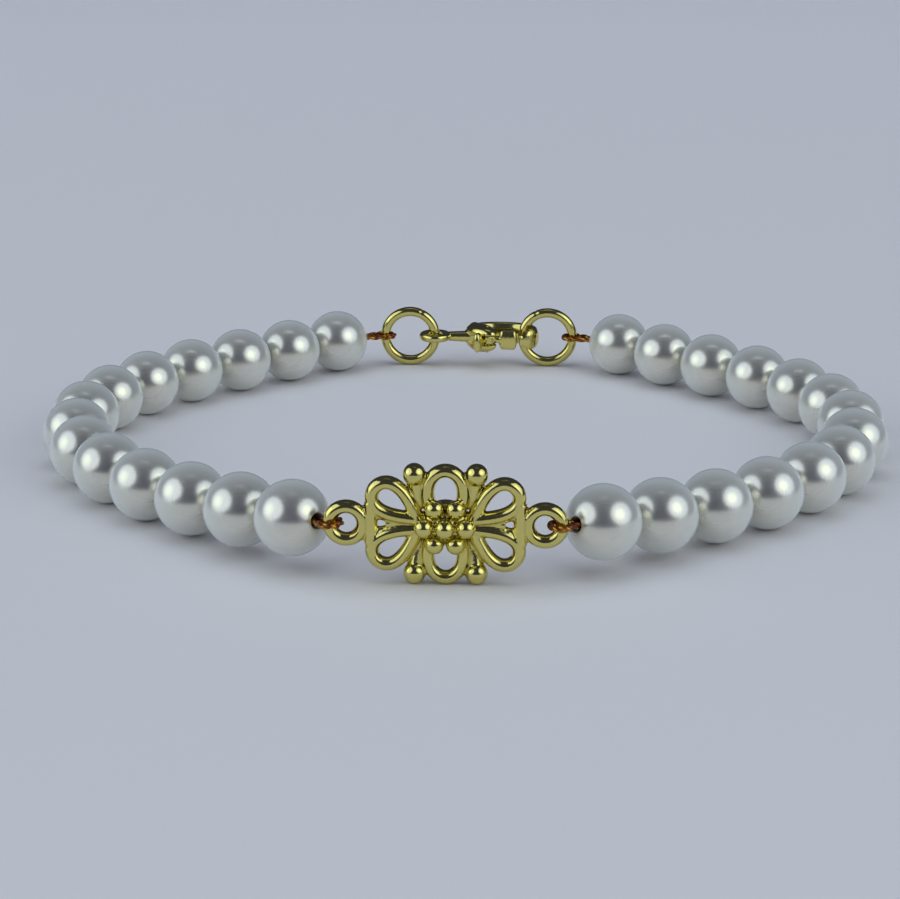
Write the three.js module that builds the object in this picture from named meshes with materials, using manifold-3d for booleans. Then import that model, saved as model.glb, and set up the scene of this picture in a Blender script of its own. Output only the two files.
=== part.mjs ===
// A strung pearl bracelet with a filigree flower connector in front and a lobster clasp behind.
// Millimetres, +Z up. It lies closed on a table, the connector standing upright towards -Y, with the
// origin under the middle of its outline, on the surface that it rests on.
import * as THREE from 'three';
import { mergeVertices } from 'three/addons/utils/BufferGeometryUtils.js';
import Module from 'manifold-3d';

const wasm = await Module();
wasm.setup();

// Pearls and how a strand of them lies
const PEARL_DIAMETER = 5;
const PEARL_BORE = 1.2;
const PEARL_SIDES = 12;
const PEARL_ARCS = 6;
const PEARL_PITCH = 5.05;
const PEARLS_A_SIDE = 14;
const FIRST_PEARL_X = 10;
const HEADING_START = 138.2;
const HEADING_END = 43.3;
const BEND_MIDDLE = 7.15;
const BEND_STEPS = 10;
const FRONT_LIFT = 1;
const LIFTED_PEARLS = 3;

// Beading thread: two lanes side by side in each bore, and its wrap round a ring's wire
const THREAD_DIAMETER = 0.42;
const THREAD_LANE = 0.24;
const THREAD_SIDES = 6;
const THREAD_END_GAP = 0.4;
const THREAD_END_PEARL = 7;
const WRAP_GAP = 0.12;
const WRAP_ANGLE = 115;
const WRAP_STEPS = 8;

// Cast flower connector, as seen from the front: x to the right, y up, z towards the wearer's front
const CAST_HALF_WIDTH = 0.45;
const CAST_HALF_DEPTH = 0.55;
const CAST_SIDES = 6;
const PETAL_STEPS = 8;
const PETAL_OVERLAP = 0.06;
const UPRIGHT_PETAL = { tip: [0, 0.1], angle: 90, length: 3.42, halfWidth: 1.27, sharpness: 0.35 };
const SLANTED_PETAL = { tip: [1.7, 0.3], angle: 35.5, length: 3.44, halfWidth: 1.31, sharpness: 1.3 };
const SIDE_RING = { x: 6.3, radius: 1.1, halfWidth: 0.37, halfDepth: 0.5, sections: 16 };
const SIDE_BAR = { x: 4.73, halfLength: 1.35 };
const SIDE_WEB = { fromX: 1.5, fromRadius: 0.34, toX: 3.8, toRadius: 0.3 };
const SIDE_FILLET = { fromX: 3.2, fromY: 0.35, toX: 4.5, toY: 0.62, radius: 0.33 };
const CORNER_DROP = { x: 1.97, y: 3.25, radius: 0.69, neck: 0.6 };
const DROP_TAIL = { x: 1.55, y: 1, radius: 0.28, sunk: 0.18 };
const GRANULE = { radius: 0.6, pitch: 1.33, sides: 10, rows: 6 };
const GRANULE_HEIGHT = { outer: 0.75, side: 1.05, middle: 1.2 };
const BOSS = { backRadius: 1.65, frontRadius: 1, back: -0.42, front: 0.85, sides: 12 };
const CONNECTOR_AHEAD = 2.4;

// Rings at the clasp
const RING_RADIUS = 2.1;
const RING_WIRE = 0.8;
const RING_SECTIONS = 16;
const RINGS_BEHIND = 2.2;
const LINK_X = 3.7;

// Lobster clasp, lying flat: x from the eye to the claw, the lever on the -y side
const EYE = { radius: 1.0, wire: 0.36, sections: 14 };
const SHANK = { fromX: -2.6, fromRadius: 0.4, toX: -0.6, toRadius: 0.5 };
const HOOK = { x: 2, length: 2.7, width: 1.6, from: 172, to: -58, steps: 14 };
const HOOK_WIRE = { halfWidth: 0.42, halfDepth: 1 };
const HEAD = { x: -0.35, y: 0.2, radius: 0.74 };
const PIVOT = { x: 0.75, y: -0.95, pin: 0.25, hole: 0.36, sides: 10 };
const CHEEK = { radius: 0.8, inner: 0.42, outer: 1.2 };
const LEVER = { halfDepth: 0.3, thickHalfDepth: 0.85, halfWidth: 0.33, hub: 0.62, gateAngle: -8 };
const GATE = { thickStart: 1.28, end: 2.2 };
const TAB = { angle: 240, thickStart: 1.4, end: 1.65 };
const ROUND_SIDES = 12;

const MERGE_DISTANCE = 1e-4;

const WORLD_UP = new THREE.Vector3(0, 0, 1);
const pearlRadius = PEARL_DIAMETER / 2;
const connectorHeight = UPRIGHT_PETAL.tip[1] + UPRIGHT_PETAL.length + CAST_HALF_WIDTH;
const ringHeight = RING_RADIUS + RING_WIRE / 2;

// A curve that runs straight from each given point to the next, with one step for each
class Route extends THREE.Curve {
  constructor(points) {
    super();
    this.points = points;
  }

  getPoint(t, target = new THREE.Vector3()) {
    const place = t * (this.points.length - 1);
    const i = Math.min(Math.round(place), this.points.length - 1);
    return target.copy(this.points[i]);
  }

  getTangent(t, target = new THREE.Vector3()) {
    const last = this.points.length - 1;
    const i = Math.round(t * last);
    const before = this.points[Math.max(i - 1, 0)];
    const after = this.points[Math.min(i + 1, last)];
    return target.subVectors(after, before).normalize();
  }

  getPointAt(u, target) {
    return this.getPoint(u, target);
  }

  getTangentAt(u, target) {
    return this.getTangent(u, target);
  }
}

function polygon(halfX, halfY, sides, turn = 0) {
  const corners = [];
  for (let i = 0; i < sides; i += 1) {
    const angle = turn + (i * 2 * Math.PI) / sides;
    corners.push(new THREE.Vector2(halfX * Math.cos(angle), halfY * Math.sin(angle)));
  }
  return new THREE.Shape(corners);
}

// A wire of oval section along points; on a flat route the depth lies across its plane
function wire(points, halfWidth, halfDepth, sides) {
  const section = polygon(halfDepth, halfWidth, sides, Math.PI / 2);
  const settings = { steps: points.length - 1, bevelEnabled: false, extrudePath: new Route(points) };
  return new THREE.ExtrudeGeometry(section, settings);
}

function toSolid(geometry) {
  const bare = geometry.clone();
  bare.deleteAttribute('normal');
  bare.deleteAttribute('uv');
  const merged = mergeVertices(bare, MERGE_DISTANCE);
  const vertProperties = new Float32Array(merged.attributes.position.array);
  const triVerts = new Uint32Array(merged.index.array);
  return new wasm.Manifold(new wasm.Mesh({ numProp: 3, vertProperties, triVerts }));
}

function joined(geometries) {
  const solids = geometries.map(toSolid);
  return solids.reduce((sum, solid) => sum.add(solid));
}

function toGeometry(solid) {
  const mesh = solid.getMesh();
  const geometry = new THREE.BufferGeometry();
  geometry.setAttribute('position', new THREE.BufferAttribute(mesh.vertProperties, 3));
  geometry.setIndex(new THREE.BufferAttribute(mesh.triVerts, 1));
  geometry.computeVertexNormals();
  return geometry;
}

const materials = {
  pearl: { color: 0xe9ebe8, roughness: 0.18, metalness: 0.0 },
  gold: { color: 0xd8c878, roughness: 0.16, metalness: 1.0 },
  thread: { color: 0x8a4a12, roughness: 0.45, metalness: 0.0 },
};

const bracelet = new THREE.Group();

function addPiece(name, geometry, finish, parent = bracelet) {
  const mesh = new THREE.Mesh(geometry, new THREE.MeshStandardMaterial(materials[finish]));
  mesh.name = name;
  parent.add(mesh);
  return mesh;
}

// Where each pearl of the left strand lies: equal steps whose heading turns once, from the straight
// stretch beside the connector round to the one beside the clasp. The right strand mirrors it.
function strandCentres() {
  const centres = [new THREE.Vector3(-FIRST_PEARL_X, 0, 0)];
  for (let step = 1; step < PEARLS_A_SIDE; step += 1) {
    const turned = THREE.MathUtils.smoothstep((step - BEND_MIDDLE) / BEND_STEPS + 0.5, 0, 1);
    const heading = THREE.MathUtils.degToRad(THREE.MathUtils.lerp(HEADING_START, HEADING_END, turned));
    const move = new THREE.Vector3(Math.cos(heading), Math.sin(heading), 0);
    centres.push(centres[step - 1].clone().addScaledVector(move, PEARL_PITCH));
  }
  centres.forEach((centre, i) => {
    const share = Math.max(1 - i / LIFTED_PEARLS, 0);
    centre.z = pearlRadius + FRONT_LIFT * share * share;
  });
  return centres;
}

const centres = strandCentres();
const connectorPlace = new THREE.Vector3(0, -CONNECTOR_AHEAD, connectorHeight);
const claspPlace = new THREE.Vector3(0, centres[PEARLS_A_SIDE - 1].y + RINGS_BEHIND, ringHeight);
const frontWire = connectorPlace.clone().setX(-SIDE_RING.x - SIDE_RING.radius);
const backWire = claspPlace.clone().setX(-LINK_X - 2 * RING_RADIUS);

function strandDirection(i) {
  const before = i === 0 ? frontWire : centres[i - 1];
  const after = i === PEARLS_A_SIDE - 1 ? backWire : centres[i + 1];
  return new THREE.Vector3().subVectors(after, before).normalize();
}

function mirrored(point, side) {
  return new THREE.Vector3(-side * point.x, point.y, point.z);
}

// A ball turned round its bore, whose profile closes on itself along the bore
function pearlGeometry() {
  const boreRadius = PEARL_BORE / 2;
  const open = Math.asin(boreRadius / pearlRadius);
  const profile = [];
  for (let i = 0; i <= PEARL_ARCS; i += 1) {
    const angle = -Math.PI / 2 + open + ((Math.PI - 2 * open) * i) / PEARL_ARCS;
    profile.push(new THREE.Vector2(pearlRadius * Math.cos(angle), pearlRadius * Math.sin(angle)));
  }
  profile.push(profile[0].clone());
  return new THREE.LatheGeometry(profile, PEARL_SIDES);
}

// The left strand's side is -1 and the right one's is 1
function addPearls(sideName, side) {
  centres.forEach((centre, i) => {
    const number = String(i + 1).padStart(2, '0');
    const pearl = addPiece(`pearl_${sideName}_${number}`, pearlGeometry(), 'pearl');
    const along = mirrored(strandDirection(i), side);
    const across = new THREE.Vector3().crossVectors(along, WORLD_UP).normalize();
    const up = new THREE.Vector3().crossVectors(across, along);
    pearl.quaternion.setFromRotationMatrix(new THREE.Matrix4().makeBasis(across, along, up));
    pearl.position.copy(mirrored(centre, side));
  });
}

// The thread turns back through a ring's hole, round the wire whose centre is given
function wrapPoints(centre, halfWidth, halfDepth) {
  const clear = WRAP_GAP + THREAD_DIAMETER / 2;
  const points = [];
  for (let i = 0; i <= WRAP_STEPS; i += 1) {
    const angle = THREE.MathUtils.degToRad(WRAP_ANGLE * (1 - (2 * i) / WRAP_STEPS));
    const x = centre.x + (halfWidth + clear) * Math.cos(angle);
    const y = centre.y + (halfDepth + clear) * Math.sin(angle);
    points.push(new THREE.Vector3(x, y, centre.z));
  }
  return points;
}

// Both ends of the thread are hidden in one pearl. Outside lane to the clasp's ring, inside lane all
// the way back to the connector, and outside lane again to where it began.
function threadPoints() {
  const boreHalf = Math.sqrt(pearlRadius ** 2 - (PEARL_BORE / 2) ** 2);
  const inBore = (i, along, lane) => {
    const direction = strandDirection(i);
    const outward = new THREE.Vector3().crossVectors(WORLD_UP, direction).normalize();
    const point = centres[i].clone().addScaledVector(direction, along);
    return point.addScaledVector(outward, lane * THREAD_LANE);
  };
  const endPearl = THREAD_END_PEARL - 1;
  const points = [inBore(endPearl, THREAD_END_GAP, 1), inBore(endPearl, boreHalf, 1)];
  for (let i = endPearl + 1; i < PEARLS_A_SIDE; i += 1) {
    points.push(inBore(i, -boreHalf, 1), inBore(i, boreHalf, 1));
  }
  points.push(...wrapPoints(backWire, RING_WIRE / 2, RING_WIRE / 2));
  for (let i = PEARLS_A_SIDE - 1; i >= 0; i -= 1) {
    points.push(inBore(i, boreHalf, -1), inBore(i, -boreHalf, -1));
  }
  points.push(...wrapPoints(frontWire, SIDE_RING.halfWidth, SIDE_RING.halfDepth));
  for (let i = 0; i < endPearl; i += 1) {
    points.push(inBore(i, -boreHalf, 1), inBore(i, boreHalf, 1));
  }
  points.push(inBore(endPearl, -boreHalf, 1), inBore(endPearl, -THREAD_END_GAP, 1));
  return points;
}

function addThread(sideName, side) {
  const points = threadPoints().map((point) => mirrored(point, side));
  const radius = THREAD_DIAMETER / 2;
  addPiece(`thread_${sideName}`, wire(points, radius, radius, THREAD_SIDES), 'thread');
}

// Half of a petal's wire, from its tip at the flower's middle to just past its round end
function halfPetal(petal, mirrorX, mirrorY, half) {
  const angle = THREE.MathUtils.degToRad(petal.angle);
  const points = [];
  for (let i = 0; i <= PETAL_STEPS + 1; i += 1) {
    const t = Math.PI * Math.min(i / PETAL_STEPS, 1 + PETAL_OVERLAP);
    const along = (petal.length * (1 - Math.cos(t))) / 2;
    const aside = half * petal.halfWidth * Math.sin(t) * Math.sin(t / 2) ** petal.sharpness;
    const x = petal.tip[0] + along * Math.cos(angle) - aside * Math.sin(angle);
    const y = petal.tip[1] + along * Math.sin(angle) + aside * Math.cos(angle);
    points.push(new THREE.Vector3(mirrorX * x, mirrorY * y, 0));
  }
  return wire(points, CAST_HALF_WIDTH, CAST_HALF_DEPTH, CAST_SIDES);
}

function ball(radius) {
  return new THREE.SphereGeometry(radius, GRANULE.sides, GRANULE.rows);
}

// A round bar that narrows from one point of its own flat plane to another
function taper(fromX, fromY, fromRadius, toX, toY, toRadius) {
  const run = new THREE.Vector2(toX - fromX, toY - fromY);
  const bar = new THREE.CylinderGeometry(toRadius, fromRadius, run.length(), GRANULE.sides);
  bar.rotateZ(run.angle() - Math.PI / 2);
  bar.translate((fromX + toX) / 2, (fromY + toY) / 2, 0);
  return bar;
}

function connectorGeometry() {
  const pieces = [];
  for (const half of [-1, 1]) {
    pieces.push(halfPetal(UPRIGHT_PETAL, 1, 1, half), halfPetal(UPRIGHT_PETAL, 1, -1, half));
    for (const side of [-1, 1]) {
      pieces.push(halfPetal(SLANTED_PETAL, side, 1, half), halfPetal(SLANTED_PETAL, side, -1, half));
    }
  }
  for (const side of [-1, 1]) {
    const { radius, halfWidth, halfDepth, sections } = SIDE_RING;
    const ring = new THREE.TorusGeometry(radius, halfWidth, CAST_SIDES, sections);
    ring.scale(1, 1, halfDepth / halfWidth);
    pieces.push(ring.translate(side * SIDE_RING.x, 0, 0));
    const barEnds = [-1, 0, 1].map((end) => {
      return new THREE.Vector3(side * SIDE_BAR.x, end * SIDE_BAR.halfLength, 0);
    });
    pieces.push(wire(barEnds, CAST_HALF_WIDTH, CAST_HALF_DEPTH, CAST_SIDES));
    for (const end of [-1, 1]) {
      const drop = CORNER_DROP;
      pieces.push(ball(drop.radius).translate(side * drop.x, end * drop.y, 0));
      const tail = taper(side * drop.x, end * drop.y, drop.neck,
        side * DROP_TAIL.x, end * DROP_TAIL.y, DROP_TAIL.radius);
      pieces.push(tail.translate(0, 0, -DROP_TAIL.sunk));
      const fillet = SIDE_FILLET;
      pieces.push(taper(side * fillet.fromX, end * fillet.fromY, fillet.radius,
        side * fillet.toX, end * fillet.toY, fillet.radius));
    }
    const web = SIDE_WEB;
    pieces.push(taper(side * web.fromX, 0, web.fromRadius, side * web.toX, 0, web.toRadius));
  }
  const rowHeight = GRANULE.pitch * Math.sin(Math.PI / 3);
  for (const side of [-1, 1]) {
    pieces.push(ball(GRANULE.radius).translate(side * GRANULE.pitch, 0, GRANULE_HEIGHT.side));
    for (const row of [-1, 1]) {
      const x = (side * GRANULE.pitch) / 2;
      pieces.push(ball(GRANULE.radius).translate(x, row * rowHeight, GRANULE_HEIGHT.outer));
    }
  }
  pieces.push(ball(GRANULE.radius).translate(0, 0, GRANULE_HEIGHT.middle));
  const depth = BOSS.front - BOSS.back;
  const boss = new THREE.CylinderGeometry(BOSS.frontRadius, BOSS.backRadius, depth, BOSS.sides);
  boss.rotateX(Math.PI / 2);
  pieces.push(boss.translate(0, 0, (BOSS.front + BOSS.back) / 2));
  return toGeometry(joined(pieces));
}

function addConnector() {
  const connector = addPiece('connector', connectorGeometry(), 'gold');
  connector.rotation.x = Math.PI / 2;
  connector.position.copy(connectorPlace);
}

function addRing(sideName, side) {
  const geometry = new THREE.TorusGeometry(RING_RADIUS, RING_WIRE / 2, CAST_SIDES, RING_SECTIONS);
  const ring = addPiece(`ring_${sideName}`, geometry, 'gold');
  ring.rotation.x = Math.PI / 2;
  ring.position.set(side * (LINK_X + RING_RADIUS), claspPlace.y, claspPlace.z);
}

// An upright block with a straight outline and round ends, between two depths
function lozenge(fromX, fromY, toX, toY, radius, low, high) {
  const angle = Math.atan2(toY - fromY, toX - fromX);
  const corners = [];
  for (let i = 0; i <= ROUND_SIDES / 2; i += 1) {
    const turn = angle - Math.PI / 2 + (i * 2 * Math.PI) / ROUND_SIDES;
    corners.push(new THREE.Vector2(toX + radius * Math.cos(turn), toY + radius * Math.sin(turn)));
  }
  for (let i = 0; i <= ROUND_SIDES / 2; i += 1) {
    const turn = angle + Math.PI / 2 + (i * 2 * Math.PI) / ROUND_SIDES;
    corners.push(new THREE.Vector2(fromX + radius * Math.cos(turn), fromY + radius * Math.sin(turn)));
  }
  const settings = { depth: high - low, bevelEnabled: false };
  const block = new THREE.ExtrudeGeometry(new THREE.Shape(corners), settings);
  return block.translate(0, 0, low);
}

function roundPost(x, y, radius, halfHeight, sides) {
  const post = new THREE.CylinderGeometry(radius, radius, 2 * halfHeight, sides);
  return post.rotateX(Math.PI / 2).translate(x, y, 0);
}

function claspBodyGeometry() {
  const eye = new THREE.TorusGeometry(EYE.radius, EYE.wire, CAST_SIDES, EYE.sections);
  eye.translate(-LINK_X, 0, 0);
  const hookPoints = [];
  for (let i = 0; i <= HOOK.steps; i += 1) {
    const angle = THREE.MathUtils.degToRad(THREE.MathUtils.lerp(HOOK.from, HOOK.to, i / HOOK.steps));
    const x = HOOK.x + HOOK.length * Math.cos(angle);
    hookPoints.push(new THREE.Vector3(x, HOOK.width * Math.sin(angle), 0));
  }
  const hook = wire(hookPoints, HOOK_WIRE.halfWidth, HOOK_WIRE.halfDepth, CAST_SIDES);
  const shank = taper(SHANK.fromX, 0, SHANK.fromRadius, SHANK.toX, 0, SHANK.toRadius);
  const head = roundPost(HEAD.x, HEAD.y, HEAD.radius, CHEEK.outer, ROUND_SIDES);
  const pin = roundPost(PIVOT.x, PIVOT.y, PIVOT.pin, CHEEK.outer, PIVOT.sides);
  const upper = lozenge(HEAD.x, HEAD.y, PIVOT.x, PIVOT.y, CHEEK.radius, CHEEK.inner, CHEEK.outer);
  const lower = lozenge(HEAD.x, HEAD.y, PIVOT.x, PIVOT.y, CHEEK.radius, -CHEEK.outer, -CHEEK.inner);
  return toGeometry(joined([eye, shank, hook, head, pin, upper, lower]));
}

// One arm of the lever, thin between the cheeks and as thick as the hook outside them
function leverArm(angleDegrees, thickStart, end) {
  const angle = THREE.MathUtils.degToRad(angleDegrees);
  const at = (distance) => [PIVOT.x + distance * Math.cos(angle), PIVOT.y + distance * Math.sin(angle)];
  const thin = lozenge(PIVOT.x, PIVOT.y, ...at(end), LEVER.halfWidth, -LEVER.halfDepth, LEVER.halfDepth);
  const thick = lozenge(...at(thickStart), ...at(end), LEVER.halfWidth,
    -LEVER.thickHalfDepth, LEVER.thickHalfDepth);
  return [thin, thick];
}

function claspLeverGeometry() {
  const hub = roundPost(PIVOT.x, PIVOT.y, LEVER.hub, LEVER.halfDepth, ROUND_SIDES);
  const gate = leverArm(LEVER.gateAngle, GATE.thickStart, GATE.end);
  const tab = leverArm(TAB.angle, TAB.thickStart, TAB.end);
  const hole = roundPost(PIVOT.x, PIVOT.y, PIVOT.hole, 2 * LEVER.halfDepth, PIVOT.sides);
  return toGeometry(joined([hub, ...gate, ...tab]).subtract(toSolid(hole)));
}

function addClasp() {
  const clasp = new THREE.Group();
  clasp.position.copy(claspPlace);
  addPiece('clasp_body', claspBodyGeometry(), 'gold', clasp);
  addPiece('clasp_lever', claspLeverGeometry(), 'gold', clasp);
  bracelet.add(clasp);
}

for (const [sideName, side] of [['left', -1], ['right', 1]]) {
  addPearls(sideName, side);
  addThread(sideName, side);
  addRing(sideName, side);
}
addConnector();
addClasp();

// The origin moves under the middle of the outline
const outline = new THREE.Box3().setFromObject(bracelet, true);
const middle = outline.getCenter(new THREE.Vector3());
for (const child of bracelet.children) {
  child.position.sub(new THREE.Vector3(middle.x, middle.y, outline.min.z));
}

export default bracelet;
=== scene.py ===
import math

import bmesh
import bpy
from mathutils import Matrix, Quaternion, Vector


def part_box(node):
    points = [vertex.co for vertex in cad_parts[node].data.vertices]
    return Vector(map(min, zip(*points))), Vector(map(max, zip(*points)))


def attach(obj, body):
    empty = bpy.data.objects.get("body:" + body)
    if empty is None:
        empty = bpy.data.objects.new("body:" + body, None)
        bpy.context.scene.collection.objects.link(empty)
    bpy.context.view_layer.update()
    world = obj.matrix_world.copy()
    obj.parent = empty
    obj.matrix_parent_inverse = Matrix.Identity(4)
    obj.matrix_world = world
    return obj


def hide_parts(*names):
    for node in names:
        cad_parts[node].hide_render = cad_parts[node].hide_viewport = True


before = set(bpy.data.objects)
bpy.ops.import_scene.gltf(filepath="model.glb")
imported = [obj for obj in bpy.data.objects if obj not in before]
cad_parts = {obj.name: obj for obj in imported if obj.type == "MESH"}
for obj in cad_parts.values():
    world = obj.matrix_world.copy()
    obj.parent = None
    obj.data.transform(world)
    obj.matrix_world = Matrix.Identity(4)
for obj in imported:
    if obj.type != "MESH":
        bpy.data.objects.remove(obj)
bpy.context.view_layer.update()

# Table and light: the bracelet lies closed on a plain pale table in a dark room. A large window on each
# side, with sky and a brighter patch of garden, gives every pearl two soft panes with a dark patch
# between them, above the pale table. Two lights from above even out the table. Sizes here are in metres.
TABLE_HALF_WIDTH = 2.0
TABLE_FRONT = -2.0
TABLE_BACK = 0.8
TABLE_COLOUR = "e9e6e8"
ROOM_COLOUR = "aab0e4"
ROOM_LIGHT = 0.105
SKY_BRIGHTNESS = 1.17
SKY_DISTANCE = 0.5
SKY_HEIGHT = 0.53
GARDEN_DISTANCE = 0.45
GARDEN_WIDTH = 0.24
GARDEN_HEIGHT = 0.22
SKY_COLOUR = "e9f4ff"
GARDEN_COLOUR = "f2ffbc"
CAMERA_PLACE = (0.00773, -0.18492, 0.05346)
CAMERA_PITCH = 15.92
CAMERA_TURN = 2.73
CAMERA_LENS = 103.7


def linear(hex_colour):
    """An sRGB colour such as "f0e4b8" as linear red, green and blue with an alpha of 1."""
    channels = [int(hex_colour[i:i + 2], 16) / 255 for i in (0, 2, 4)]
    return [c / 12.92 if c <= 0.04045 else ((c + 0.055) / 1.055) ** 2.4 for c in channels] + [1.0]


def add_node(tree, kind, settings, links=()):
    """Adds a node. Settings are its properties or the values of its inputs, links what feeds them."""
    node = tree.nodes.new(kind)
    for name, value in settings.items():
        if isinstance(name, int) or name in node.inputs:
            node.inputs[name].default_value = value
        else:
            setattr(node, name, value)
    for name, source in dict(links).items():
        tree.links.new(source, node.inputs[name])
    return node


def start_material(name):
    """An empty material with its node tree."""
    material = bpy.data.materials.new(name)
    material.use_nodes = True
    material.node_tree.nodes.clear()
    return material, material.node_tree


def add_soft_light(name, place, back, width, height, brightness, colour, spread=180):
    """A soft oval light at a place, which shines away from the direction of its back."""
    light = bpy.data.lights.new(name, "AREA")
    light.shape = "ELLIPSE"
    light.size = width
    light.size_y = height
    light.energy = brightness * math.pi * (math.pi * width * height / 4)
    light.spread = math.radians(spread)
    light.color = linear(colour)[:3]
    lamp = bpy.data.objects.new(name, light)
    lamp.location = place
    lamp.rotation_mode = "QUATERNION"
    lamp.rotation_quaternion = back.to_track_quat("Z", "Y")
    lamp.visible_camera = False
    bpy.context.collection.objects.link(lamp)
    return lamp


def add_window(name, azimuth, elevation, distance, width, height, brightness, colour):
    """A soft light that faces the bracelet; azimuth 0 is towards the camera."""
    turn, rise = math.radians(azimuth), math.radians(elevation)
    level = math.cos(rise)
    towards = Vector((math.sin(turn) * level, -math.cos(turn) * level, math.sin(rise)))
    add_soft_light(name, towards * distance, towards, width, height, brightness, colour)


table_material, tree = start_material("matt_painted_table")
shader = add_node(tree, "ShaderNodeBsdfPrincipled", {
    "Base Color": linear(TABLE_COLOUR), "Roughness": 0.75, "Specular IOR Level": 0.3,
})
add_node(tree, "ShaderNodeOutputMaterial", {}, {"Surface": shader.outputs["BSDF"]})

sheet = bmesh.new()
corners = []
for x, y in ((-1, TABLE_FRONT), (1, TABLE_FRONT), (1, TABLE_BACK), (-1, TABLE_BACK)):
    corners.append(sheet.verts.new((x * TABLE_HALF_WIDTH, y, 0)))
sheet.faces.new(corners)
table_mesh = bpy.data.meshes.new("table")
sheet.to_mesh(table_mesh)
sheet.free()
table_mesh.materials.append(table_material)
table_top = bpy.data.objects.new("table", table_mesh)
bpy.context.collection.objects.link(table_top)

for side, azimuth, elevation, width in (("left", -66, 28, 0.7), ("right", 64, 30, 0.65)):
    add_window(f"sky_{side}", azimuth, elevation, SKY_DISTANCE, width, SKY_HEIGHT, SKY_BRIGHTNESS,
               SKY_COLOUR)
for side, azimuth, elevation, brightness in (("left", -76, 22, 0.65), ("right", 57, 30, 0.75)):
    add_window(f"garden_{side}", azimuth, elevation, GARDEN_DISTANCE, GARDEN_WIDTH, GARDEN_HEIGHT,
               brightness, GARDEN_COLOUR)
overhead = add_soft_light("overhead", place=(0, 0.1, 0.8), back=Vector((0, 0, 1)), width=1.0, height=1.0,
                          brightness=1.04, colour=SKY_COLOUR)
overhead.visible_glossy = False
add_soft_light("far_end", place=(0, 0.1, 0.7), back=Vector((0, -0.4, 0.7)), width=1.2, height=0.3,
               brightness=0.45, colour=SKY_COLOUR, spread=70)
world = bpy.data.worlds.new("room")
world.use_nodes = True
world.node_tree.nodes.clear()
room = add_node(world.node_tree, "ShaderNodeBackground", {
    "Color": linear(ROOM_COLOUR), "Strength": ROOM_LIGHT,
})
add_node(world.node_tree, "ShaderNodeOutputWorld", {}, {"Surface": room.outputs["Background"]})
bpy.context.scene.world = world
bpy.context.scene.view_settings.view_transform = "Standard"

lens = bpy.data.cameras.new("camera")
lens.lens = CAMERA_LENS
lens.sensor_width = 36
lens.clip_start = 0.01
lens.clip_end = 20
camera = bpy.data.objects.new("camera", lens)
camera.location = CAMERA_PLACE
camera.rotation_euler = (math.radians(90 - CAMERA_PITCH), 0, math.radians(CAMERA_TURN))
bpy.context.collection.objects.link(camera)
bpy.context.scene.camera = camera

# Pearls: glass beads of 5 mm, dipped in several coats of white pearl lacquer and drilled. The coats
# gather in a soft lip at both ends of the bore. Fourteen a side are strung with their bores in line,
# from the ring of the connector to the ring of the clasp. From here on, sizes are in millimetres.
MM = 0.001
PEARLS_A_SIDE = 14
PEARL_RADIUS = 2.5
BORE_RADIUS = 0.5
LIP_RADIUS = 0.09
PEARL_STEPS = 56
PEARL_ARCS = 30
LIP_ARCS = 6
WELD_DISTANCE = 0.0005
CONNECTOR_AHEAD = 2.4
CONNECTOR_REACH = 7.4
CLASP_REACH = 7.9
PEARL_BODY = "dfdbcc"
PEARL_OVERTONE = "e6e3d6"
# Paler, cooler tint for the rims: a painted reflection of the pale table.
PEARL_RIM_PAINTED_REFLECTION = "e6eef0"
PEARL_TONE_SPREAD = 9 * MM
ORANGE_PEEL = 0.7 * MM
ORANGE_PEEL_DEPTH = 0.006 * MM
DUST_SPACING = 1.2 * MM


def middle_of(node):
    """The middle of a CAD node's box, in millimetres."""
    low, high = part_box(node)
    return (Vector(low) + Vector(high)) / 2 / MM


connector_middle = Vector((0, middle_of("pearl_left_01").y - CONNECTOR_AHEAD, middle_of("connector").z))
clasp_middle = (middle_of("ring_left") + middle_of("ring_right")) / 2


def strand(side, sign):
    """The middle of each pearl of a strand and the way its bore points, in stringing order."""
    pearls = [middle_of(f"pearl_{side}_{i:02d}") for i in range(1, PEARLS_A_SIDE + 1)]
    first = connector_middle + Vector((sign * CONNECTOR_REACH, 0, 0))
    last = clasp_middle + Vector((sign * CLASP_REACH, 0, 0))
    line = [first, *pearls, last]
    return [(line[i], (line[i + 1] - line[i - 1]).normalized()) for i in range(1, PEARLS_A_SIDE + 1)]


def make_piece(shape, name, material, node, body="root"):
    """Turns a shape in millimetres into a smooth piece that stands for one CAD node."""
    bmesh.ops.remove_doubles(shape, verts=shape.verts, dist=WELD_DISTANCE)
    bmesh.ops.recalc_face_normals(shape, faces=shape.faces)
    bmesh.ops.scale(shape, vec=(MM, MM, MM), verts=shape.verts)
    mesh = bpy.data.meshes.new(name)
    shape.to_mesh(mesh)
    shape.free()
    mesh.shade_smooth()
    mesh.materials.append(material)
    piece = bpy.data.objects.new(name, mesh)
    bpy.context.collection.objects.link(piece)
    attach(piece, body)
    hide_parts(node)


def spun_profile(points, steps):
    """Spins a closed outline in the XZ plane once round the X axis."""
    shape = bmesh.new()
    corners = [shape.verts.new(point) for point in points]
    edges = [shape.edges.new((corners[i - 1], corners[i])) for i in range(len(corners))]
    bmesh.ops.spin(shape, geom=corners + edges, axis=(1, 0, 0), cent=(0, 0, 0), angle=2 * math.pi,
                   steps=steps, use_merge=True)
    return shape


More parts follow.
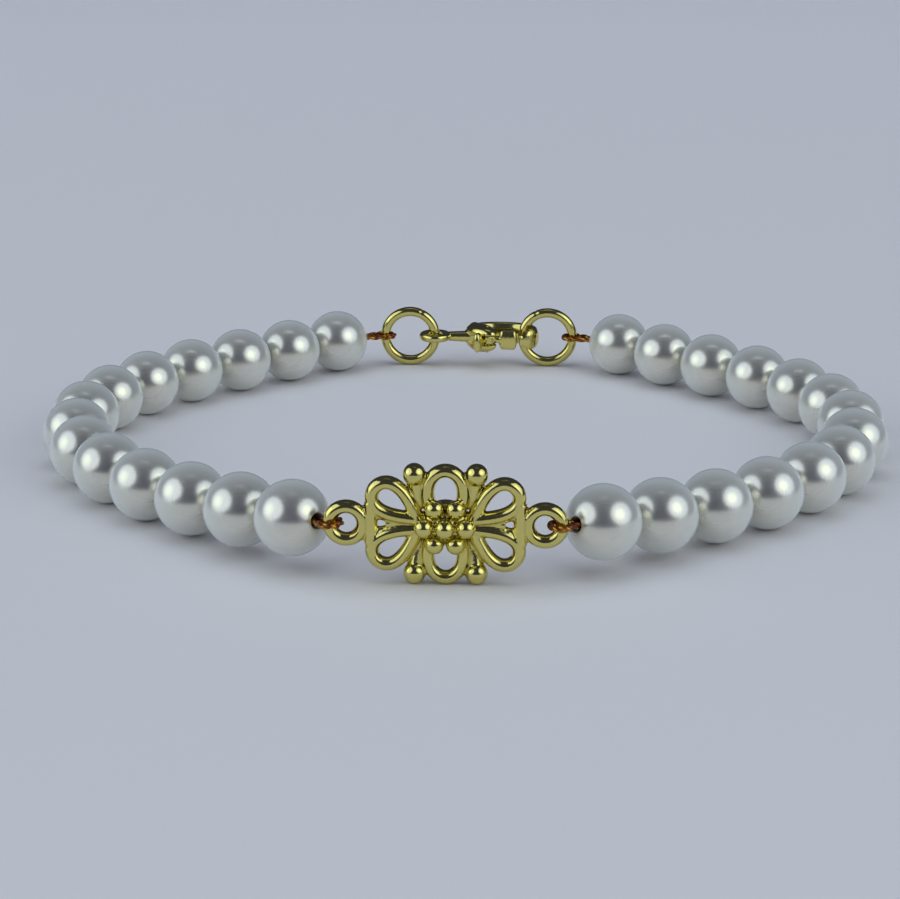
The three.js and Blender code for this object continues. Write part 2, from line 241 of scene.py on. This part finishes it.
def pearl_profile():
    """Bore wall, lip, ball, lip and back to the middle of the bore."""
    lip_middle = BORE_RADIUS + LIP_RADIUS
    lip_along = math.sqrt((PEARL_RADIUS - LIP_RADIUS) ** 2 - lip_middle ** 2)
    lip_turn = math.atan2(lip_middle, lip_along)
    points = []
    for i in range(LIP_ARCS):
        angle = -math.pi / 2 + (math.pi / 2 + lip_turn) * i / LIP_ARCS
        along = lip_along + LIP_RADIUS * math.cos(angle)
        points.append((along, 0, lip_middle + LIP_RADIUS * math.sin(angle)))
    for i in range(PEARL_ARCS + 1):
        angle = lip_turn + (math.pi - 2 * lip_turn) * i / PEARL_ARCS
        points.append((PEARL_RADIUS * math.cos(angle), 0, PEARL_RADIUS * math.sin(angle)))
    points += [(-x, y, z) for x, y, z in reversed(points[:LIP_ARCS])]
    return points


# The lacquer holds fine reflecting flakes, so it is part mirror and part chalk, under a clear last
# coat. At the rim the eye looks through more of it, so it is chalkier there. The rim's colour is also
# painted paler and cooler, as a painted reflection of the pale table and room. Its skin has the faint
# orange peel and stray dust of a dipped coat.
pearl_material, tree = start_material("pearl_lacquer_on_glass")
place = add_node(tree, "ShaderNodeTexCoord", {})
tone = add_node(tree, "ShaderNodeTexNoise", {"Scale": 1 / PEARL_TONE_SPREAD, "Detail": 1.0},
                {"Vector": place.outputs["Object"]})
body_colour = add_node(tree, "ShaderNodeMix", {
    "data_type": "RGBA", 6: linear(PEARL_BODY), 7: linear(PEARL_OVERTONE),
}, {0: tone.outputs["Fac"]})
facing = add_node(tree, "ShaderNodeLayerWeight", {"Blend": 0.4})
# Painted reflection: towards the rim the colour turns to a paler, cooler tint that stands in for the pale
# table seen there.
skin_colour_with_painted_rim = add_node(tree, "ShaderNodeMix", {"data_type": "RGBA", 7: linear(PEARL_RIM_PAINTED_REFLECTION)}, {
    0: facing.outputs["Facing"], 6: body_colour.outputs[2],
})
peel = add_node(tree, "ShaderNodeTexNoise", {"Scale": 1 / ORANGE_PEEL, "Detail": 2.0},
                {"Vector": place.outputs["Object"]})
dust = add_node(tree, "ShaderNodeTexVoronoi", {"Scale": 1 / DUST_SPACING},
                {"Vector": place.outputs["Object"]})
speck = add_node(tree, "ShaderNodeMapRange", {
    "From Min": 0.0, "From Max": 0.07, "To Min": 0.6, "To Max": 0.0,
}, {"Value": dust.outputs["Distance"]})
relief = add_node(tree, "ShaderNodeMath", {"operation": "ADD"}, {
    0: peel.outputs["Fac"], 1: speck.outputs["Result"],
})
bump = add_node(tree, "ShaderNodeBump", {"Strength": 0.25, "Distance": ORANGE_PEEL_DEPTH},
                {"Height": relief.outputs["Value"]})
gloss = add_node(tree, "ShaderNodeMapRange", {"To Min": 0.22, "To Max": 0.28},
                 {"Value": tone.outputs["Fac"]})
flakes = add_node(tree, "ShaderNodeMapRange", {"From Max": 0.6, "To Min": 0.84, "To Max": 0.15},
                  {"Value": facing.outputs["Facing"]})
shader = add_node(tree, "ShaderNodeBsdfPrincipled", {
    "Coat Weight": 0.6, "Coat Roughness": 0.2, "Coat IOR": 1.5,
}, {
    "Base Color": skin_colour_with_painted_rim.outputs[2], "Metallic": flakes.outputs["Result"],
    "Roughness": gloss.outputs["Result"], "Normal": bump.outputs["Normal"],
})
add_node(tree, "ShaderNodeOutputMaterial", {}, {"Surface": shader.outputs["BSDF"]})

for side, sign in (("left", -1), ("right", 1)):
    for number, (middle, along) in enumerate(strand(side, sign), 1):
        pearl = spun_profile(pearl_profile(), PEARL_STEPS)
        turn = along.to_track_quat("X", "Z").to_matrix().to_4x4()
        bmesh.ops.transform(pearl, matrix=Matrix.Translation(middle) @ turn, verts=pearl.verts)
        make_piece(pearl, f"lacquered_pearl_{side}_{number:02d}", pearl_material,
                   f"pearl_{side}_{number:02d}")

# Connector: a flower of light yellow gold, cast in one with a threading ring at each side. Six wire
# petals meet in a raised cluster of seven granules, and a ball with a drop-shaped tail fills each
# corner between them. The inner corners are softly filled, as casting and polishing leave them.
CAST_HALF_WIDTH = 0.45
CAST_HALF_DEPTH = 0.57
UPRIGHT_PETAL = {"tip": (0, 0.1), "angle": 90, "length": 3.42, "half_width": 1.27, "sharpness": 0.35}
SLANTED_PETAL = {"tip": (1.7, 0.3), "angle": 35.5, "length": 3.44, "half_width": 1.31, "sharpness": 1.3}
PETAL_STEPS = 72
LOOP_STEPS = 64
RING_MIDDLE = 6.3
RING_LOOP = 1.08
RING_HALF_WIDTH = 0.45
RING_HALF_DEPTH = 0.52
BAR_X = 4.73
BAR_HALF_LENGTH = 1.35
WEB = {"start": 1.5, "start_radius": 0.34, "end": 3.8, "end_radius": 0.33}
FILLET = {"start": (3.2, 0.35), "end": (4.5, 0.62), "radius": 0.33}
DROP_MIDDLE = (1.97, 3.25)
DROP_RADIUS = 0.73
DROP_NECK_RADIUS = 0.66
DROP_TAIL = (1.55, 1.0)
DROP_TAIL_RADIUS = 0.3
DROP_TAIL_SUNK = 0.18
BOSS_SUNK = 0.3
BOSS_SIZE = (1.62, 1.5, 1.25)
GRANULES_ROUND = 6
GRANULE_RADIUS = 0.62
GRANULE_PITCH = 1.33
GRANULE_HEIGHT = 0.75
GRANULE_SIDE_HEIGHT = 1.05
GRANULE_MIDDLE_HEIGHT = 1.2
CAST_VOXEL = 0.065
CAST_POLISH = 3
GOLD = "dbcf7c"
# A darker gold painted into the recesses as painted shade.
GOLD_PAINTED_SHADE = "96843a"
CAST_RIPPLE = 0.9 * MM
CAST_RIPPLE_DEPTH = 0.04 * MM
POLISH_GRAIN = 0.12 * MM
POLISH_GRAIN_DEPTH = 0.01 * MM


def add_wire(shape, points, half_width, half_depth, closed=False, taper=None):
    """Adds an oval wire through points of the XY plane to a shape; taper scales it at each point."""
    curve = bpy.data.curves.new("wire", "CURVE")
    curve.dimensions = "3D"
    curve.bevel_depth = half_width
    curve.bevel_resolution = 4
    curve.use_fill_caps = True
    line = curve.splines.new("POLY")
    line.points.add(len(points) - 1)
    line.use_cyclic_u = closed
    for i, (x, y) in enumerate(points):
        line.points[i].co = (x, y, 0, 1)
        line.points[i].radius = taper[i] if taper else 1
    holder = bpy.data.objects.new("wire", curve)
    mesh = bpy.data.meshes.new_from_object(holder)
    mesh.transform(Matrix.Diagonal((1, 1, half_depth / half_width, 1)))
    shape.from_mesh(mesh)
    bpy.data.objects.remove(holder)
    bpy.data.curves.remove(curve)
    bpy.data.meshes.remove(mesh)


def add_ball(shape, x, y, z, radius):
    """Adds a round ball."""
    bmesh.ops.create_icosphere(shape, subdivisions=4, radius=radius, matrix=Matrix.Translation((x, y, z)))


def add_taper(shape, start, start_radius, end, end_radius, height=0):
    """Adds a round bar that narrows from one point to another, level with the XY plane."""
    start, end = Vector((*start, height)), Vector((*end, height))
    turn = (end - start).to_track_quat("Z", "Y").to_matrix().to_4x4()
    bmesh.ops.create_cone(
        shape, cap_ends=True, segments=32, radius1=start_radius, radius2=end_radius,
        depth=(end - start).length, matrix=Matrix.Translation((start + end) / 2) @ turn,
    )


def round_line(middle_x, radius):
    """The middle line of a round ring's wire."""
    points = []
    for i in range(LOOP_STEPS):
        angle = 2 * math.pi * i / LOOP_STEPS
        points.append((middle_x + radius * math.cos(angle), radius * math.sin(angle)))
    return points


def petal_line(tip, angle, length, half_width, sharpness):
    """The middle line of a petal's wire, from its tip out and round to its tip again."""
    lean = math.radians(angle)
    points = []
    for i in range(PETAL_STEPS):
        t = 2 * math.pi * (i + 0.5) / PETAL_STEPS
        out = length * (1 - math.cos(t)) / 2
        aside = half_width * math.sin(t) * math.sin(t / 2) ** sharpness
        x = tip[0] + out * math.cos(lean) - aside * math.sin(lean)
        y = tip[1] + out * math.sin(lean) + aside * math.cos(lean)
        points.append((x, y))
    return points


def fused(shape, voxel, rounds):
    """Melts overlapping forms into one skin whose inner corners are filled, as in a casting."""
    heap = bpy.data.meshes.new("heap")
    shape.to_mesh(heap)
    shape.free()
    holder = bpy.data.objects.new("heap", heap)
    bpy.context.collection.objects.link(holder)
    skin = holder.modifiers.new("skin", "REMESH")
    skin.mode = "VOXEL"
    skin.voxel_size = voxel
    polish = holder.modifiers.new("polish", "SMOOTH")
    polish.factor = 0.5
    polish.iterations = rounds
    mesh = bpy.data.meshes.new_from_object(holder.evaluated_get(bpy.context.evaluated_depsgraph_get()))
    melted = bmesh.new()
    melted.from_mesh(mesh)
    bpy.data.objects.remove(holder)
    bpy.data.meshes.remove(heap)
    bpy.data.meshes.remove(mesh)
    return melted


# Light yellow gold, cast and then tumbled to a high polish: an almost clean mirror with the faint
# ripple of the cast skin and a fine polishing grain. Its colour is painted darker in the recesses,
# as painted shade.
gold_material, tree = start_material("polished_cast_gold")
place = add_node(tree, "ShaderNodeTexCoord", {})
ripple = add_node(tree, "ShaderNodeTexNoise", {"Scale": 1 / CAST_RIPPLE, "Detail": 2.0},
                  {"Vector": place.outputs["Object"]})
grain = add_node(tree, "ShaderNodeTexNoise", {"Scale": 1 / POLISH_GRAIN, "Detail": 1.0},
                 {"Vector": place.outputs["Object"]})
surface = add_node(tree, "ShaderNodeNewGeometry", {})
# Painted shade: where the surface is hollow, its colour turns to the darker gold.
painted_recess_shade = add_node(tree, "ShaderNodeMapRange", {"From Min": 0.42, "From Max": 0.5},
                  {"Value": surface.outputs["Pointiness"]})
gold_colour_with_painted_shade = add_node(tree, "ShaderNodeMix", {
    "data_type": "RGBA", 6: linear(GOLD_PAINTED_SHADE), 7: linear(GOLD),
}, {0: painted_recess_shade.outputs["Result"]})
gloss = add_node(tree, "ShaderNodeMapRange", {"To Min": 0.07, "To Max": 0.19},
                 {"Value": ripple.outputs["Fac"]})
grain_bump = add_node(tree, "ShaderNodeBump", {"Strength": 0.06, "Distance": POLISH_GRAIN_DEPTH},
                      {"Height": grain.outputs["Fac"]})
cast_bump = add_node(tree, "ShaderNodeBump", {"Strength": 0.3, "Distance": CAST_RIPPLE_DEPTH}, {
    "Height": ripple.outputs["Fac"], "Normal": grain_bump.outputs["Normal"],
})
shader = add_node(tree, "ShaderNodeBsdfPrincipled", {"Metallic": 1.0}, {
    "Base Color": gold_colour_with_painted_shade.outputs[2], "Roughness": gloss.outputs["Result"],
    "Normal": cast_bump.outputs["Normal"],
})
add_node(tree, "ShaderNodeOutputMaterial", {}, {"Surface": shader.outputs["BSDF"]})

flower = bmesh.new()
for petal, mirrors in ((UPRIGHT_PETAL, [(1, 1), (1, -1)]),
                       (SLANTED_PETAL, [(1, 1), (1, -1), (-1, 1), (-1, -1)])):
    for mirror_x, mirror_y in mirrors:
        line = [(mirror_x * x, mirror_y * y) for x, y in petal_line(**petal)]
        add_wire(flower, line, CAST_HALF_WIDTH, CAST_HALF_DEPTH, closed=True)
for sign in (-1, 1):
    loop = round_line(sign * RING_MIDDLE, RING_LOOP)
    add_wire(flower, loop, RING_HALF_WIDTH, RING_HALF_DEPTH, closed=True)
    add_wire(flower, [(sign * BAR_X, end * BAR_HALF_LENGTH) for end in (-1, 0, 1)], CAST_HALF_WIDTH,
             CAST_HALF_DEPTH)
    add_taper(flower, (sign * WEB["start"], 0), WEB["start_radius"], (sign * WEB["end"], 0),
              WEB["end_radius"])
    for end in (-1, 1):
        ball = (sign * DROP_MIDDLE[0], end * DROP_MIDDLE[1])
        tail = (sign * DROP_TAIL[0], end * DROP_TAIL[1])
        add_ball(flower, *ball, 0, DROP_RADIUS)
        add_taper(flower, ball, DROP_NECK_RADIUS, tail, DROP_TAIL_RADIUS, -DROP_TAIL_SUNK)
        start, finish = ((sign * x, end * y) for x, y in (FILLET["start"], FILLET["end"]))
        add_taper(flower, start, FILLET["radius"], finish, FILLET["radius"])
boss = Matrix.Translation((0, 0, -BOSS_SUNK)) @ Matrix.Diagonal((*BOSS_SIZE, 1))
bmesh.ops.create_icosphere(flower, subdivisions=5, radius=1, matrix=boss)
add_ball(flower, 0, 0, GRANULE_MIDDLE_HEIGHT, GRANULE_RADIUS)
for i in range(GRANULES_ROUND):
    angle = 2 * math.pi * i / GRANULES_ROUND
    level_with_middle = i % (GRANULES_ROUND // 2) == 0
    height = GRANULE_SIDE_HEIGHT if level_with_middle else GRANULE_HEIGHT
    granule = (GRANULE_PITCH * math.cos(angle), GRANULE_PITCH * math.sin(angle), height)
    add_ball(flower, *granule, GRANULE_RADIUS)
flower = fused(flower, CAST_VOXEL, CAST_POLISH)
upright = Matrix.Translation(connector_middle) @ Matrix.Rotation(math.pi / 2, 4, "X")
bmesh.ops.transform(flower, matrix=upright, verts=flower.verts)
make_piece(flower, "cast_flower_connector", gold_material, "connector")

# Rings at the clasp: round gold wire of 0.8 mm bent to 5 mm rings and soldered shut. Each stands
# upright, with the thread round its outer side and the clasp hooked in its inner side. The solder
# leaves a shallow seam.
RING_RADIUS = 2.1
RING_WIRE_RADIUS = 0.4
RING_STEPS = 96
RING_SIDES = 20
SEAM_DEPTH = 0.035
SEAM_TURN = 25
SAME_PLACE = 1e-4


def soldered_ring():
    """A ring of round wire in the XY plane, slightly sunk where its ends were soldered at +X."""
    ring = bmesh.new()
    section = bmesh.ops.create_circle(
        ring, segments=RING_SIDES, radius=RING_WIRE_RADIUS, matrix=Matrix.Translation((RING_RADIUS, 0, 0)),
    )["verts"]
    section_edges = ring.edges[:]
    across = Matrix.Rotation(math.pi / 2, 3, "X")
    bmesh.ops.rotate(ring, cent=(RING_RADIUS, 0, 0), matrix=across, verts=section)
    seam = [vert.co.copy() for vert in section]
    bmesh.ops.spin(ring, geom=section + section_edges, axis=(0, 0, 1), cent=(0, 0, 0), angle=2 * math.pi,
                   steps=RING_STEPS, use_merge=True)
    for vert in ring.verts:
        if min((vert.co - corner).length for corner in seam) < SAME_PLACE:
            vert.co = vert.co.lerp(Vector((RING_RADIUS, 0, 0)), SEAM_DEPTH / RING_WIRE_RADIUS)
    return ring


for side, sign in (("left", -1), ("right", 1)):
    ring = soldered_ring()
    seam_up = Matrix.Rotation(math.radians(90 + sign * SEAM_TURN), 4, "Z")
    stand = Matrix.Rotation(math.pi / 2, 4, "X") @ seam_up
    place = Matrix.Translation(middle_of(f"ring_{side}"))
    bmesh.ops.transform(ring, matrix=place @ stand, verts=ring.verts)
    make_piece(ring, f"soldered_ring_{side}", gold_material, f"ring_{side}")

# Clasp body: a small lobster claw cast in gold, plump and rounded all over, lying flat between the two
# rings. The left ring goes through the eye at the end of its shank, and the right one through the crook
# of its hook. Two domed cheeks hold the lever, on a pin whose ends show as small round rivets.
EYE_X = -3.7
EYE_RADIUS = 1.0
EYE_WIRE_RADIUS = 0.36
SHANK = {"start": (-2.6, 0), "start_radius": 0.4, "end": (-0.6, 0), "end_radius": 0.5}
HOOK_MIDDLE = 2.0
HOOK_LENGTH = 2.7
HOOK_WIDTH = 1.6
HOOK_FROM = 172
HOOK_SWEEP = 230
HOOK_STEPS = 80
HOOK_THINNING = 0.14
HOOK_TIP_SHARE = 0.09
HOOK_TIP_BLUNTNESS = 0.3
HOOK_HALF_WIDTH = 0.42
HOOK_HALF_DEPTH = 1.0
HEAD = Vector((-0.35, 0.2, 0))
HEAD_RADIUS = 0.76
PIVOT = Vector((0.75, -0.95, 0))
PIN_RADIUS = 0.25
PIN_HALF_LENGTH = 1.188
CHEEK_RADIUS = 0.8
CHEEK_INNER = 0.42
CHEEK_OUTER = 1.2
CHEEK_OVERHANG = 1.12
CLAW_VOXEL = 0.06
CLAW_POLISH = 6


def add_dome(shape, start, end, radius, flat, crown):
    """Adds half a lens over two points, flat on its inner side and crowned on its outer one."""
    dome = bmesh.new()
    bmesh.ops.create_icosphere(dome, subdivisions=5, radius=1)
    bmesh.ops.bisect_plane(dome, geom=dome.verts[:] + dome.edges[:] + dome.faces[:], plane_co=(0, 0, 0),
                           plane_no=(0, 0, -1), clear_outer=True)
    bmesh.ops.holes_fill(dome, edges=dome.edges[:])
    way = end - start
    turn = way.to_track_quat("X", "Z").to_matrix().to_4x4()
    place = Matrix.Translation((start + end) / 2 + Vector((0, 0, flat)))
    reach = radius * CHEEK_OVERHANG
    size = Matrix.Diagonal((way.length / 2 + reach, reach, crown - flat, 1))
    bmesh.ops.transform(dome, matrix=place @ turn @ size, verts=dome.verts)
    if crown < flat:
        bmesh.ops.reverse_faces(dome, faces=dome.faces)
    mesh = bpy.data.meshes.new("dome")
    dome.to_mesh(mesh)
    dome.free()
    shape.from_mesh(mesh)
    bpy.data.meshes.remove(mesh)


claw = bmesh.new()
add_wire(claw, round_line(EYE_X, EYE_RADIUS), EYE_WIRE_RADIUS, EYE_WIRE_RADIUS, closed=True)
add_taper(claw, **SHANK)
hook = []
hook_taper = []
for i in range(HOOK_STEPS + 1):
    share = i / HOOK_STEPS
    angle = math.radians(HOOK_FROM - HOOK_SWEEP * share)
    hook.append((HOOK_MIDDLE + HOOK_LENGTH * math.cos(angle), HOOK_WIDTH * math.sin(angle)))
    tip = math.sqrt(max(HOOK_TIP_BLUNTNESS, (1 - share) / HOOK_TIP_SHARE))
    hook_taper.append(min(1.0, tip) * (1 - HOOK_THINNING * share))
add_wire(claw, hook, HOOK_HALF_WIDTH, HOOK_HALF_DEPTH, taper=hook_taper)
head_size = Matrix.Diagonal((HEAD_RADIUS, HEAD_RADIUS, CHEEK_OUTER, 1))
bmesh.ops.create_icosphere(claw, subdivisions=5, radius=1, matrix=Matrix.Translation(HEAD) @ head_size)
for face in (-1, 1):
    add_dome(claw, HEAD, PIVOT, CHEEK_RADIUS, face * CHEEK_INNER, face * CHEEK_OUTER)
claw = fused(claw, CLAW_VOXEL, CLAW_POLISH)
pin_end = Matrix.Diagonal((PIN_RADIUS, PIN_RADIUS, PIN_HALF_LENGTH, 1))
bmesh.ops.create_icosphere(claw, subdivisions=4, radius=1, matrix=Matrix.Translation(PIVOT) @ pin_end)
bmesh.ops.transform(claw, matrix=Matrix.Translation(clasp_middle), verts=claw.verts)
make_piece(claw, "lobster_clasp_claw", gold_material, "clasp_body")

# Clasp lever: the sprung gate that closes the claw. It turns on the pin between the cheeks, shuts
# against the tip of the hook, and is opened with a fingernail on its short tab. Its long arm swells
# to the thickness of the claw where it fills the gap.
LEVER_HUB = 0.62
LEVER_HOLE = 0.36
LEVER_HALF_WIDTH = 0.33
LEVER_HALF_DEPTH = 0.3
LEVER_THICK_HALF_DEPTH = 0.85
LEVER_ARM_START = 0.74
LEVER_ARMS = (
    {"angle": -8, "thick_start": 1.3, "end": 2.2},
    {"angle": 240, "thick_start": 1.4, "end": 1.65},
)
ARM_STEPS = 12
HUB_STEPS = 32
LEVER_VOXEL = 0.05
LEVER_POLISH = 5


def add_arm(shape, start, end, half_width, half_depth):
    """Adds a bar with a rounded back and round ends, as thick as half_depth says in the middle."""
    way = end - start
    turn = way.to_track_quat("X", "Z").to_matrix().to_4x4()
    size = Matrix.Diagonal((half_width, half_width, half_depth, 1))
    for i in range(ARM_STEPS + 1):
        place = start.lerp(end, i / ARM_STEPS)
        bmesh.ops.create_icosphere(shape, subdivisions=4, radius=1,
                                   matrix=Matrix.Translation(place) @ turn @ size)


lever = bmesh.new()
for arm in LEVER_ARMS:
    angle = math.radians(arm["angle"])
    way = Vector((math.cos(angle), math.sin(angle), 0))
    tip = PIVOT + way * arm["end"]
    add_arm(lever, PIVOT + way * LEVER_ARM_START, tip, LEVER_HALF_WIDTH, LEVER_HALF_DEPTH)
    add_arm(lever, PIVOT + way * arm["thick_start"], tip, LEVER_HALF_WIDTH, LEVER_THICK_HALF_DEPTH)
outline = []
for face, radius in ((-1, LEVER_HOLE), (1, LEVER_HOLE), (1, LEVER_HUB), (-1, LEVER_HUB)):
    outline.append((face * LEVER_HALF_DEPTH, 0, radius))
hub = spun_profile(outline, HUB_STEPS)
standing = Matrix.Translation(PIVOT) @ Matrix.Rotation(math.pi / 2, 4, "Y")
bmesh.ops.transform(hub, matrix=standing, verts=hub.verts)
hub_mesh = bpy.data.meshes.new("hub")
hub.to_mesh(hub_mesh)
hub.free()
lever.from_mesh(hub_mesh)
bpy.data.meshes.remove(hub_mesh)
lever = fused(lever, LEVER_VOXEL, LEVER_POLISH)
bmesh.ops.transform(lever, matrix=Matrix.Translation(clasp_middle), verts=lever.verts)
make_piece(lever, "lobster_clasp_gate", gold_material, "clasp_lever", body="lever")

# Threads: shiny golden brown beading thread of two twisted plies, one for each side. Each runs from
# its seventh pearl to the clasp's ring, round that, back through all its pearls and round the ring of
# the connector to the seventh pearl again, where the two ends lie hidden.
HALFWAY_PEARL = 6
THREAD_LANE = 0.24
THREAD_HALF_HOLE = 2.43
THREAD_END_GAP = 0.4
WRAP_CLEAR = 0.33
WRAP_ANGLE = 115
WRAP_STEPS = 24
THREAD_STEP = 0.12
THREAD_EASING = 3
PLIES = 2
PLY_RADIUS = 0.145
PLY_OFFSET = 0.09
PLY_TWIST = 1.7
# The golden colour of the painted glints along the thread.
THREAD_PAINTED_GLINT = "f0b23c"
THREAD_DARK = "7c3405"
THREAD_BODY = "5c1a04"
FIBRE = 0.06 * MM
FIBRE_DEPTH = 0.02 * MM
# Size of the painted glint streaks.
PAINTED_GLINT_STREAK = 0.4 * MM


def thread_route(side, sign):
    """The corners of the thread's route, in the order in which it runs."""
    pearls = strand(side, sign)

    def in_bore(i, along, lane):
        """A point of a bore, so far along it from the pearl's middle, in the outer or inner lane."""
        middle, way = pearls[i]
        outward = Vector((0, 0, -sign)).cross(way).normalized()
        return middle + way * along + outward * lane * THREAD_LANE

    def round_wire(middle, reach, half_width, half_depth):
        """The turn round the outer side of a ring's wire."""
        points = []
        for step in range(WRAP_STEPS + 1):
            angle = math.radians(WRAP_ANGLE * (1 - 2 * step / WRAP_STEPS))
            aside = -reach + (half_width + WRAP_CLEAR) * math.cos(angle)
            ahead = (half_depth + WRAP_CLEAR) * math.sin(angle)
            points.append(middle + Vector((-sign * aside, ahead, 0)))
        return points

    half = HALFWAY_PEARL
    route = [in_bore(half, THREAD_END_GAP, 1), in_bore(half, THREAD_HALF_HOLE, 1)]
    for i in range(half + 1, PEARLS_A_SIDE):
        route += [in_bore(i, -THREAD_HALF_HOLE, 1), in_bore(i, THREAD_HALF_HOLE, 1)]
    route += round_wire(clasp_middle, CLASP_REACH, RING_WIRE_RADIUS, RING_WIRE_RADIUS)
    for i in reversed(range(PEARLS_A_SIDE)):
        route += [in_bore(i, THREAD_HALF_HOLE, -1), in_bore(i, -THREAD_HALF_HOLE, -1)]
    route += round_wire(connector_middle, CONNECTOR_REACH, RING_HALF_WIDTH, RING_HALF_DEPTH)
    for i in range(half):
        route += [in_bore(i, -THREAD_HALF_HOLE, 1), in_bore(i, THREAD_HALF_HOLE, 1)]
    return route + [in_bore(half, -THREAD_HALF_HOLE, 1), in_bore(half, -THREAD_END_GAP, 1)]


def even_steps(route, step):
    """Points along a route at even distances, with its corners slightly eased."""
    points = [route[0].copy()]
    for start, end in zip(route, route[1:]):
        count = max(1, round((end - start).length / step))
        points += [start.lerp(end, (i + 1) / count) for i in range(count)]
    for _ in range(THREAD_EASING):
        middle = [(a + 2 * b + c) / 4 for a, b, c in zip(points, points[1:], points[2:])]
        points = [points[0], *middle, points[-1]]
    return points


def twisted_thread(route):
    """Plies that wind round the route and each other."""
    points = even_steps(route, THREAD_STEP)
    curve = bpy.data.curves.new("thread", "CURVE")
    curve.dimensions = "3D"
    curve.bevel_depth = PLY_RADIUS
    curve.bevel_resolution = 2
    curve.use_fill_caps = True
    plies = []
    for _ in range(PLIES):
        ply = curve.splines.new("POLY")
        ply.points.add(len(points) - 1)
        plies.append(ply)
    aside = Vector((0, 0, 1))
    travelled = 0.0
    for i, point in enumerate(points):
        before, after = points[max(i - 1, 0)], points[min(i + 1, len(points) - 1)]
        way = (after - before).normalized()
        aside = (aside - way * aside.dot(way)).normalized()
        travelled += (point - before).length
        for number, ply in enumerate(plies):
            turn = Quaternion(way, 2 * math.pi * (travelled / PLY_TWIST + number / PLIES))
            ply.points[i].co = (*(point + turn @ aside * PLY_OFFSET), 1)
    holder = bpy.data.objects.new("thread", curve)
    mesh = bpy.data.meshes.new_from_object(holder)
    shape = bmesh.new()
    shape.from_mesh(mesh)
    bpy.data.objects.remove(holder)
    bpy.data.curves.remove(curve)
    bpy.data.meshes.remove(mesh)
    return shape


# Waxed nylon: silky filaments over a dark red-brown body. Golden streaks of about 0.4 mm are
# painted into the colour of its gloss at random places as painted glints, darker between them. The
# filaments are drawn coarser than the real 0.02 mm, so that they show.
thread_material, tree = start_material("waxed_nylon_thread")
place = add_node(tree, "ShaderNodeTexCoord", {})
fibre = add_node(tree, "ShaderNodeTexNoise", {"Scale": 1 / FIBRE, "Detail": 2.0},
                 {"Vector": place.outputs["Object"]})
glint_streaks = add_node(tree, "ShaderNodeTexNoise", {"Scale": 1 / PAINTED_GLINT_STREAK, "Detail": 1.0},
               {"Vector": place.outputs["Object"]})
# Painted glints: streaks of random noise turn the gloss colour golden.
painted_glint_share = add_node(tree, "ShaderNodeMapRange", {"From Min": 0.4, "From Max": 0.6},
                     {"Value": glint_streaks.outputs["Fac"]})
thread_colour_with_painted_glints = add_node(tree, "ShaderNodeMix", {
    "data_type": "RGBA", 6: linear(THREAD_DARK), 7: linear(THREAD_PAINTED_GLINT),
}, {0: painted_glint_share.outputs["Result"]})
bump = add_node(tree, "ShaderNodeBump", {"Strength": 0.3, "Distance": FIBRE_DEPTH},
                {"Height": fibre.outputs["Fac"]})
silk = add_node(tree, "ShaderNodeBsdfPrincipled", {"Metallic": 1.0, "Roughness": 0.2}, {
    "Base Color": thread_colour_with_painted_glints.outputs[2], "Normal": bump.outputs["Normal"],
})
body = add_node(tree, "ShaderNodeBsdfPrincipled", {
    "Base Color": linear(THREAD_BODY), "Roughness": 0.5,
}, {"Normal": bump.outputs["Normal"]})
shader = add_node(tree, "ShaderNodeMixShader", {0: 0.55}, {
    1: body.outputs["BSDF"], 2: silk.outputs["BSDF"],
})
add_node(tree, "ShaderNodeOutputMaterial", {}, {"Surface": shader.outputs["Shader"]})

for side, sign in (("left", -1), ("right", 1)):
    thread = twisted_thread(thread_route(side, sign))
    make_piece(thread, f"twisted_thread_{side}", thread_material, f"thread_{side}")
